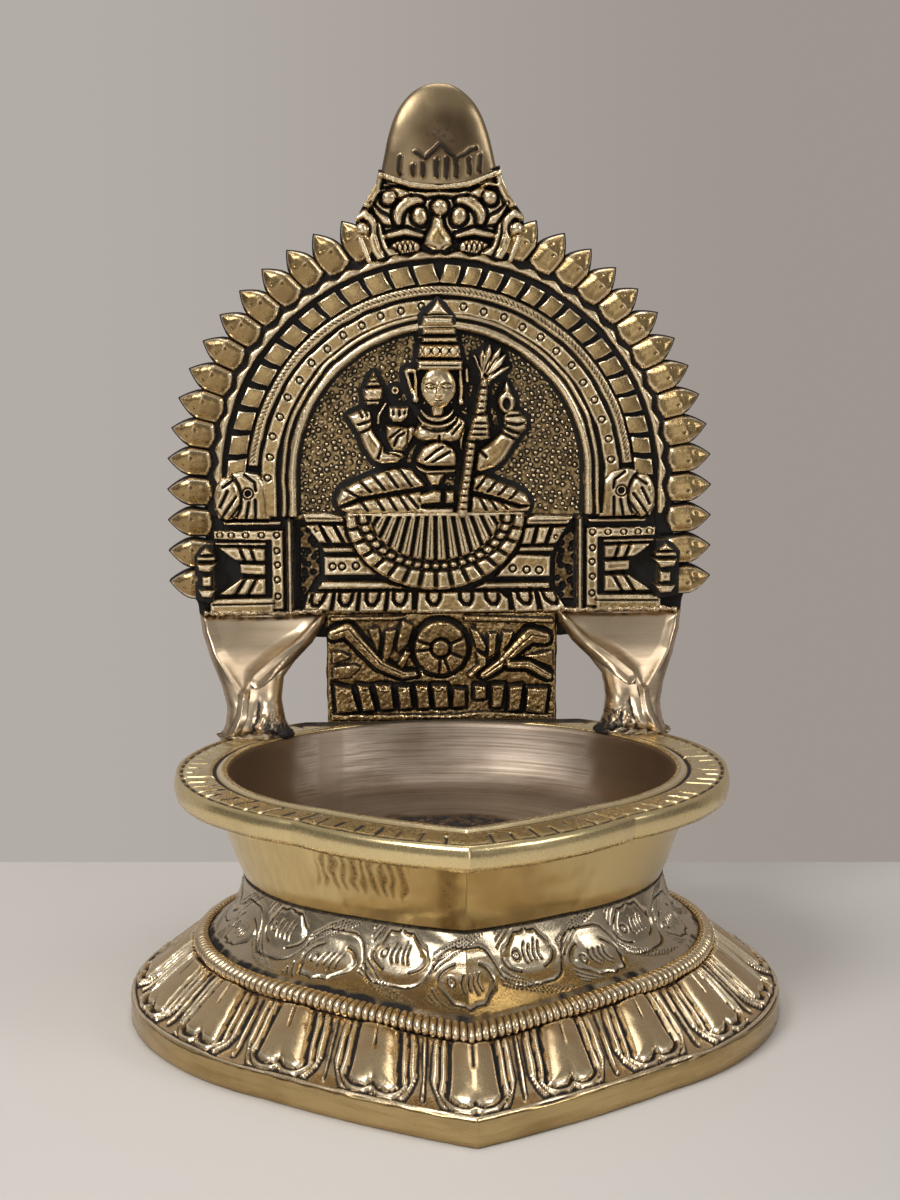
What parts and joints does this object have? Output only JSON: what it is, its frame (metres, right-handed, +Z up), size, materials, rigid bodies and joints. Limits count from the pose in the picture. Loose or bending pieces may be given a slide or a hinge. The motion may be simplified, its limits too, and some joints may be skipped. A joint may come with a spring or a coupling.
{
  "type": "brass oil lamp",
  "caption": "Pointed oil bowl on a lotus foot with an arched relief back plate, seated figure and petal border, standing on two cast legs.",
  "frame": {"origin": "on the table, under the middle of the foot's bounding box", "axes": "+Z up, -Y towards the point of the bowl, +X to the right of someone who faces the figure"},
  "size_m": [0.1236, 0.1368, 0.1791],
  "materials": {
    "antique_brass": "cast, darkened in the hollows and rubbed bright on the ridges",
    "polished_brass": "turned and polished, with fine brush lines",
    "leg_brass": "brushed, pale",
    "braze_filler": "rough, darkened filler metal",
    "fixing_steel": "plain"
  },
  "bodies": {
    "root": {"foot": "antique_brass", "bowl": "polished_brass", "back_plate": "antique_brass", "left_leg": "leg_brass", "right_leg": "leg_brass", "left_leg_top_braze": "braze_filler", "right_leg_top_braze": "braze_filler", "left_leg_foot_braze": "braze_filler", "right_leg_foot_braze": "braze_filler", "tab_braze": "braze_filler", "fixing_screw": "fixing_steel", "fixing_washer": "fixing_steel"}
  },
  "joints": []
}
